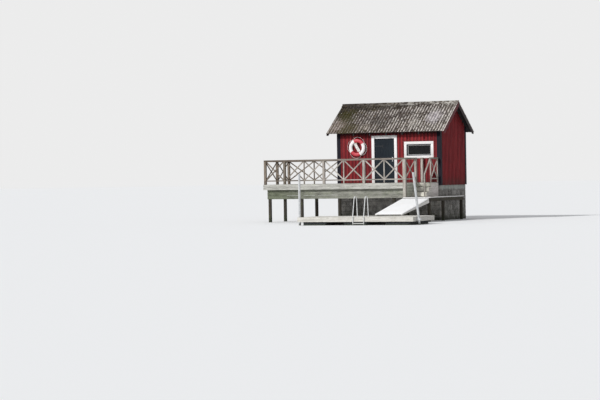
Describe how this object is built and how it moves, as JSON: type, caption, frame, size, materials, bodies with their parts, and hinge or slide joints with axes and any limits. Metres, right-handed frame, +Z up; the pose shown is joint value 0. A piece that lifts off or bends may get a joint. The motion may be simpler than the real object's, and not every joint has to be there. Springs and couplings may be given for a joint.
{
  "type": "boathouse with railed deck and floating jetty",
  "caption": "Boarded gabled hut on a plinth with a corrugated roof, a crossed-rail deck, a corner stair and a hinged gangway to a floating jetty.",
  "frame": {"origin": "centre of the bounding box at the water level, where the plinth, posts, poles and floats end", "axes": "+X to the right along the front wall, +Y from the jetty back to the hut, +Z up"},
  "size_m": [9.0182, 10.3958, 5.0518],
  "materials": {
    "masonry": "rough grey masonry",
    "red_boards": "red painted boards",
    "dark_trim": "dark painted boards",
    "white_trim": "white paint",
    "raw_timber": "unpainted timber",
    "roof_sheet": "weathered fibre cement",
    "barge_paint": "black paint",
    "door_paint": "dark blue-grey paint",
    "steel": "galvanised steel",
    "glass": "dark window glass",
    "buoy": "red and white plastic",
    "line": "white line",
    "grey_timber": "weathered grey timber",
    "dark_timber": "dark wet timber",
    "jetty_timber": "pale planed timber",
    "float": "dark grey float",
    "white_tube": "white painted tube"
  },
  "bodies": {
    "building": {"plinth": "masonry", "floor": "raw_timber", "front_wall_left": "red_boards", "front_wall_over_door": "red_boards", "front_wall_right": "red_boards", "back_wall": "red_boards", "left_gable": "red_boards", "right_gable": "red_boards", "corner_boards": "dark_trim", "rafters_front": "raw_timber", "rafters_back": "raw_timber", "ridge_board": "raw_timber", "tie_beams": "raw_timber", "roof_boards_front": "raw_timber", "roof_boards_back": "raw_timber", "roof_sheet_front": "roof_sheet", "roof_sheet_back": "roof_sheet", "ridge_cap": "roof_sheet", "barge_boards": "barge_paint", "door_frame": "dark_trim", "door_casing": "white_trim", "door_hinges": "steel", "window_casing": "white_trim", "window_sash": "white_trim", "window_glass": "glass", "lifebuoy": "buoy", "lifebuoy_lines": "line", "buoy_peg": "raw_timber", "deck_boards": "grey_timber", "deck_joists": "dark_timber", "deck_beams": "dark_timber", "deck_posts": "dark_timber", "deck_fascia": "grey_timber", "deck_skirt": "grey_timber", "railing_front": "grey_timber", "railing_left": "grey_timber", "railing_back": "grey_timber", "railing_stair": "grey_timber", "stair": "grey_timber", "stair_sides": "grey_timber", "landing_boards": "jetty_timber", "landing_frame": "dark_timber", "gangway_lugs": "steel", "guide_poles": "steel"},
    "door": {"door_leaf": "door_paint", "door_lever": "steel"},
    "gangway": {"gangway_deck": "white_trim", "gangway_beams": "grey_timber"},
    "jetty": {"jetty_deck": "jetty_timber", "jetty_frame": "jetty_timber", "jetty_floats": "float", "guide_irons": "steel", "ladder": "white_tube"}
  },
  "joints": [
    {"name": "door_hinge", "type": "hinge", "parent": "building", "child": "door", "pos_m": [-0.21911, 1.86165, 2.5], "axis": [0, 0, -1], "range_deg": [0, 100]},
    {"name": "jetty_rise", "type": "slide", "parent": "building", "child": "jetty", "axis": [0, 0, 1], "range_m": [0, 0.3]},
    {"name": "gangway_hinge", "type": "hinge", "parent": "building", "child": "gangway", "pos_m": [2.47189, -0.25935, 0.93], "axis": [-1, 0, 0], "range_deg": [0, 6]}
  ],
  "couplings": [
    {"joint": "gangway_hinge", "follows": "jetty_rise", "rad_per_m": 0.3462}
  ]
}
